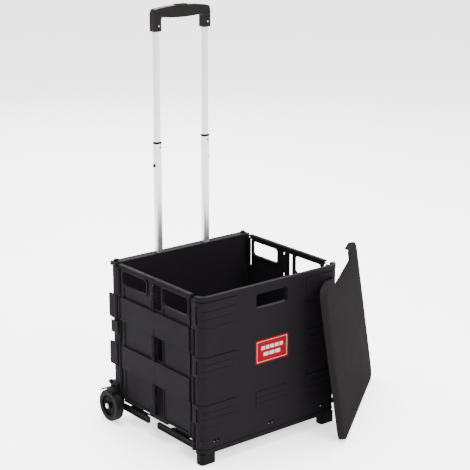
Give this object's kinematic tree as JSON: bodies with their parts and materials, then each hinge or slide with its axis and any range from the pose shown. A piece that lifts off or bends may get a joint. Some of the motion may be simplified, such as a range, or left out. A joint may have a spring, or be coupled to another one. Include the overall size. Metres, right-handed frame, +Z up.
{
  "type": "folding crate trolley",
  "caption": "Folding rigid crate on wheels with front feet, folding sides, a lift-up floor, a telescopic pull handle and a loose lid standing against a corner.",
  "frame": {"origin": "point on the ground under the middle of the crate, level with the feet and tyres", "axes": "+X across the front to the right hand of someone facing the front panel from outside, +Y from the front panel to the handle side, +Z up"},
  "size_m": [0.7203, 0.5059, 1.018],
  "materials": {
    "steel": "bright zinc",
    "tube": "satin",
    "tyre": "matte",
    "label": "satin",
    "label_mark": "satin",
    "grip": "satin",
    "fittings": "fine grain",
    "crate": "fine grain"
  },
  "bodies": {
    "back": {"back_panel": "crate", "tube_guide_left": "fittings", "tube_guide_right": "fittings", "wheel_housing_left": "fittings", "wheel_housing_right": "fittings", "axle": "steel", "axle_caps": "steel", "side_clips": "fittings", "rear_screws": "steel", "rear_hinge_pins": "steel"},
    "wheel_left": {"tyre_left": "tyre", "hub_left": "fittings"},
    "wheel_right": {"tyre_right": "tyre", "hub_right": "fittings"},
    "handle_lower": {"lower_tube_left": "tube", "lower_tube_right": "tube", "collar_left": "fittings", "collar_right": "fittings", "collar_rivets": "fittings"},
    "handle_upper": {"upper_tube_left": "tube", "upper_tube_right": "tube", "grip": "grip", "grip_screws": "steel"},
    "release": {"release_button": "grip"},
    "lock_left": {"lock_button_left": "fittings"},
    "lock_right": {"lock_button_right": "fittings"},
    "left_rear": {"left_rear_panel": "crate", "left_rear_rail": "fittings", "left_centre_pins": "steel"},
    "right_rear": {"right_rear_panel": "crate", "right_rear_rail": "fittings", "right_centre_pins": "steel"},
    "left_front": {"left_front_panel": "crate", "left_front_rail": "fittings"},
    "right_front": {"right_front_panel": "crate", "right_front_rail": "fittings"},
    "front": {"front_panel": "crate", "front_feet": "fittings", "label": "label", "label_mark": "label_mark", "front_hinge_pins": "steel", "floor_pins": "steel"},
    "floor": {"floor_panel": "crate"},
    "lid": {"lid": "crate"}
  },
  "joints": [
    {"name": "wheel_left_spin", "type": "hinge", "parent": "back", "child": "wheel_left", "pos_m": [-0.223, 0.172, 0.04], "axis": [1, 0, 0], "continuous": true},
    {"name": "wheel_right_spin", "type": "hinge", "parent": "back", "child": "wheel_right", "pos_m": [0.223, 0.172, 0.04], "axis": [1, 0, 0], "continuous": true},
    {"name": "handle_lower_slide", "type": "slide", "parent": "back", "child": "handle_lower", "axis": [0, 0, 1], "range_m": [-0.258, 0]},
    {"name": "handle_upper_slide", "type": "slide", "parent": "handle_lower", "child": "handle_upper", "axis": [0, 0, 1], "range_m": [-0.262, 0]},
    {"name": "release_press", "type": "slide", "parent": "handle_upper", "child": "release", "axis": [0, 0, 1], "range_m": [-0.003, 0], "stiffness_N_per_m": 900, "springref_m": 0.002},
    {"name": "lock_left_press", "type": "slide", "parent": "handle_lower", "child": "lock_left", "axis": [1, 0, 0], "range_m": [0, 0.0012], "stiffness_N_per_m": 500, "springref_m": -0.001},
    {"name": "lock_right_press", "type": "slide", "parent": "handle_lower", "child": "lock_right", "axis": [-1, 0, 0], "range_m": [0, 0.0012], "stiffness_N_per_m": 500, "springref_m": -0.001},
    {"name": "left_rear_fold", "type": "hinge", "parent": "back", "child": "left_rear", "pos_m": [-0.204, 0.152, 0], "axis": [0, 0, 1], "range_deg": [0, 90]},
    {"name": "left_centre_fold", "type": "hinge", "parent": "left_rear", "child": "left_front", "pos_m": [-0.2095, 0.003, 0], "axis": [0, 0, 1], "range_deg": [-180, 0]},
    {"name": "left_corner_fold", "type": "hinge", "parent": "left_front", "child": "front", "pos_m": [-0.204, -0.146, 0], "axis": [0, 0, 1], "range_deg": [0, 90]},
    {"name": "right_rear_fold", "type": "hinge", "parent": "back", "child": "right_rear", "pos_m": [0.204, 0.152, 0], "axis": [0, 0, 1], "range_deg": [-90, 0]},
    {"name": "right_centre_fold", "type": "hinge", "parent": "right_rear", "child": "right_front", "pos_m": [0.2095, 0.003, 0], "axis": [0, 0, 1], "range_deg": [0, 180]},
    {"name": "floor_lift", "type": "hinge", "parent": "front", "child": "floor", "pos_m": [0, -0.17, 0.054], "axis": [1, 0, 0], "range_deg": [0, 90]},
    {"name": "lid_lift", "type": "slide", "parent": "back", "child": "lid", "axis": [0.2065, -0.2726, 0.9397], "range_m": [0, 0.4]}
  ],
  "couplings": [
    {"joint": "left_centre_fold", "follows": "left_rear_fold", "ratio": -2},
    {"joint": "left_corner_fold", "follows": "left_rear_fold", "ratio": 1},
    {"joint": "right_rear_fold", "follows": "left_rear_fold", "ratio": -1},
    {"joint": "right_centre_fold", "follows": "left_rear_fold", "ratio": 2}
  ]
}
